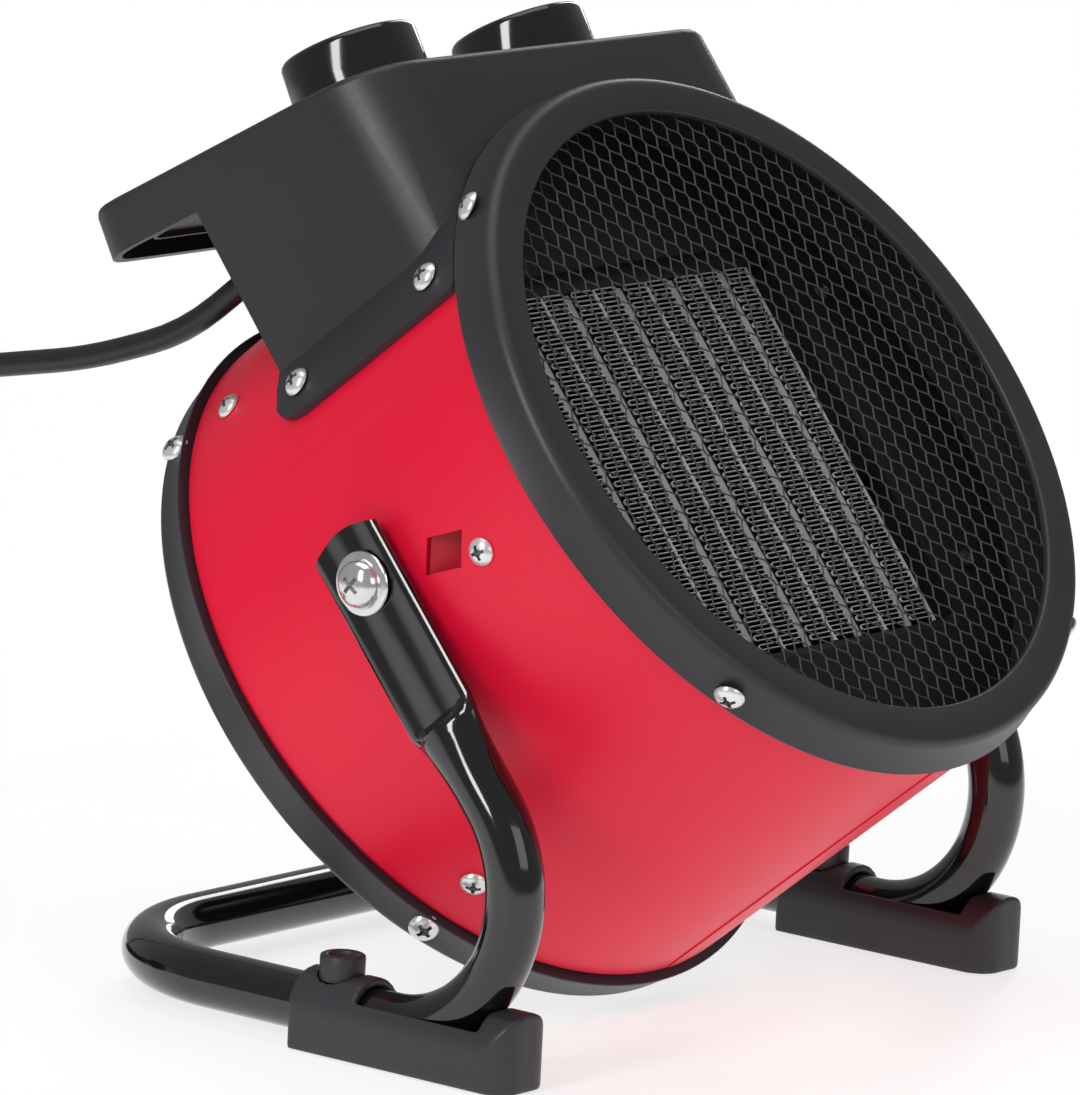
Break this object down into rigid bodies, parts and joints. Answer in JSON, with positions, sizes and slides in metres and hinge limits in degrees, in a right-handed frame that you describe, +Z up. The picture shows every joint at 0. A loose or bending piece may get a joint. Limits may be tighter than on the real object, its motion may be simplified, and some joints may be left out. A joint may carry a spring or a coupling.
{
  "type": "forced air heater",
  "caption": "Portable forced air heater: a steel drum with a ceramic heating element and fan, tilting on a bent-tube stand, with a control box, two knobs and a mains cord.",
  "frame": {"origin": "on the floor, under the middle of the heater's box without its cord", "axes": "+Z up, the outlet faces -Y and up, X runs across the heater from leg to leg"},
  "size_m": [0.3113, 0.3978, 0.2668],
  "materials": {
    "red": "satin powder coat",
    "mould": "fine-grained moulding",
    "gloss": "polished",
    "tube": "gloss paint",
    "zinc": "zinc plated",
    "steel": "plain",
    "guard": "satin paint",
    "ceramic": "fired ceramic",
    "fin": "plain",
    "shield": "plain",
    "fan": "plain",
    "rubber": "matt",
    "plastic": "plain",
    "resin": "plain",
    "brass": "plain"
  },
  "bodies": {
    "stand": {"stand_tube": "tube", "foot_left": "mould", "foot_right": "mould", "foot_peg_left": "mould", "foot_peg_right": "mould", "power_cord": "rubber", "cord_coil": "rubber", "mains_plug": "rubber", "plug_pin_1": "zinc", "plug_pin_2": "zinc"},
    "drum": {"drum_shell": "red", "front_ring": "mould", "rear_ring": "mould", "control_box": "mould", "ring_screw_front_1": "zinc", "ring_screw_front_2": "zinc", "ring_screw_front_3": "zinc", "ring_screw_front_4": "zinc", "ring_screw_rear_1": "zinc", "ring_screw_rear_2": "zinc", "ring_screw_rear_3": "zinc", "ring_screw_rear_4": "zinc", "box_screw_left_1": "zinc", "box_screw_right_1": "zinc", "box_screw_left_2": "zinc", "box_screw_right_2": "zinc", "pivot_bolt_left": "zinc", "pivot_bolt_right": "zinc", "pivot_nut_left": "zinc", "pivot_nut_right": "zinc", "front_grille": "guard", "rear_grille": "guard", "heat_shield": "shield", "ptc_ceramic_1": "ceramic", "ptc_ceramic_2": "ceramic", "ptc_ceramic_3": "ceramic", "ptc_ceramic_4": "ceramic", "ptc_ceramic_5": "ceramic", "ptc_fins_1": "fin", "ptc_fins_2": "fin", "ptc_fins_3": "fin", "ptc_fins_4": "fin", "ptc_fins_5": "fin", "ptc_fins_6": "fin", "ptc_holder_top": "resin", "ptc_holder_bottom": "resin", "thermostat": "resin", "thermal_cutout": "plastic", "power_switch": "plastic", "pivot_washer_left": "plastic", "pivot_washer_right": "plastic", "motor": "steel", "motor_bracket": "steel", "cord_gland": "rubber"},
    "fan": {"fan_impeller": "fan", "motor_shaft": "steel"},
    "thermostat_control": {"thermostat_knob": "gloss", "thermostat_shaft": "brass"},
    "power_control": {"power_knob": "gloss", "switch_shaft": "brass"}
  },
  "joints": [
    {"name": "drum_tilt", "type": "hinge", "parent": "stand", "child": "drum", "pos_m": [0, -0.00682, 0.128], "axis": [-1, 0, 0], "range_deg": [-39, 51], "deforming": ["power_cord"]},
    {"name": "fan_spin", "type": "hinge", "parent": "drum", "child": "fan", "pos_m": [0, 0.02466, 0.10251], "axis": [0, -0.7771, 0.6293], "continuous": true},
    {"name": "thermostat_turn", "type": "hinge", "parent": "drum", "child": "thermostat_control", "pos_m": [-0.037, 0.06017, 0.24251], "axis": [0, -0.4787, -0.878], "range_deg": [0, 270]},
    {"name": "power_turn", "type": "hinge", "parent": "drum", "child": "power_control", "pos_m": [0.037, 0.06017, 0.24251], "axis": [0, -0.4787, -0.878], "range_deg": [0, 135]}
  ]
}
